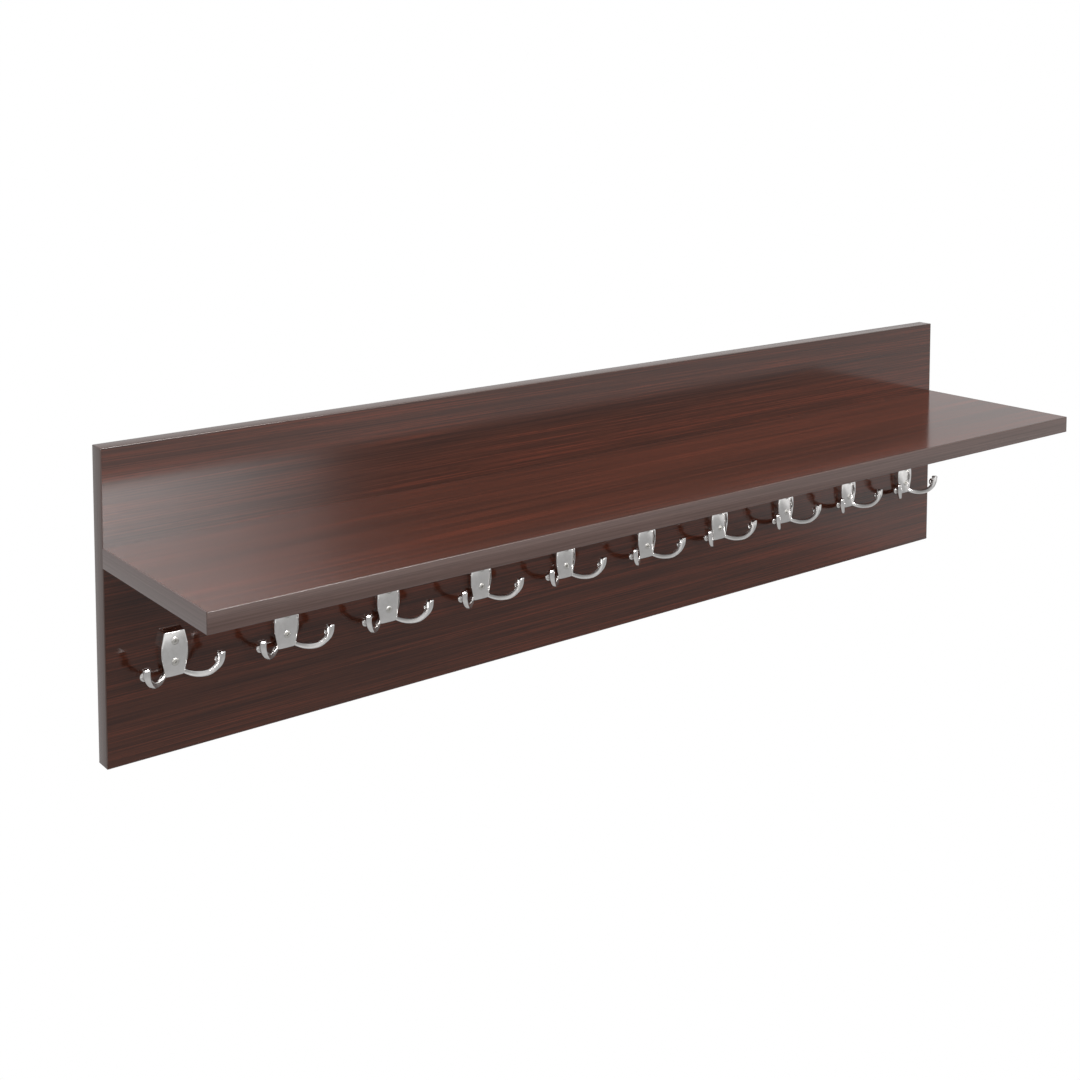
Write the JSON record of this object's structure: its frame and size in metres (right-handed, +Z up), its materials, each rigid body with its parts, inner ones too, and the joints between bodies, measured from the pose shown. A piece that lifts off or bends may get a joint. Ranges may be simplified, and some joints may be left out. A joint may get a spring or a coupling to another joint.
{
  "type": "coat rack with shelf",
  "caption": "Wall coat rack: a dark wood-grain panel with a shelf across its upper part and a row of double metal hooks below, hung on keyhole plates let into the back.",
  "frame": {"origin": "centre of the panel's wall face", "axes": "+Z up, +Y into the wall, +X to the right along the panel seen from the front; the front faces -Y"},
  "size_m": [1.1, 0.218, 0.28],
  "materials": {
    "laminate": "dark wood-grain laminate on particle board, semi-gloss",
    "edge_banding": "dark wood-look plastic edge banding",
    "hook_metal": "satin chrome plating on zinc die casting",
    "screw_metal": "polished nickel-plated steel",
    "zinc_plated_steel": "zinc-plated steel",
    "beech": "plain beech dowel"
  },
  "bodies": {
    "root": {"back_panel": "laminate", "shelf_board": "laminate", "panel_edge_top": "edge_banding", "panel_edge_bottom": "edge_banding", "panel_edge_left": "edge_banding", "panel_edge_right": "edge_banding", "shelf_edge_front": "edge_banding", "shelf_edge_left": "edge_banding", "shelf_edge_right": "edge_banding", "shelf_screws": "zinc_plated_steel", "shelf_dowels": "beech", "hanger_left": "zinc_plated_steel", "hanger_right": "zinc_plated_steel", "hanger_screws": "zinc_plated_steel", "face_plate_01": "hook_metal", "face_plate_02": "hook_metal", "face_plate_03": "hook_metal", "face_plate_04": "hook_metal", "face_plate_05": "hook_metal", "face_plate_06": "hook_metal", "face_plate_07": "hook_metal", "face_plate_08": "hook_metal", "face_plate_09": "hook_metal", "face_plate_10": "hook_metal", "prong_bar_01": "hook_metal", "prong_bar_02": "hook_metal", "prong_bar_03": "hook_metal", "prong_bar_04": "hook_metal", "prong_bar_05": "hook_metal", "prong_bar_06": "hook_metal", "prong_bar_07": "hook_metal", "prong_bar_08": "hook_metal", "prong_bar_09": "hook_metal", "prong_bar_10": "hook_metal", "hook_screws": "screw_metal"}
  },
  "joints": []
}
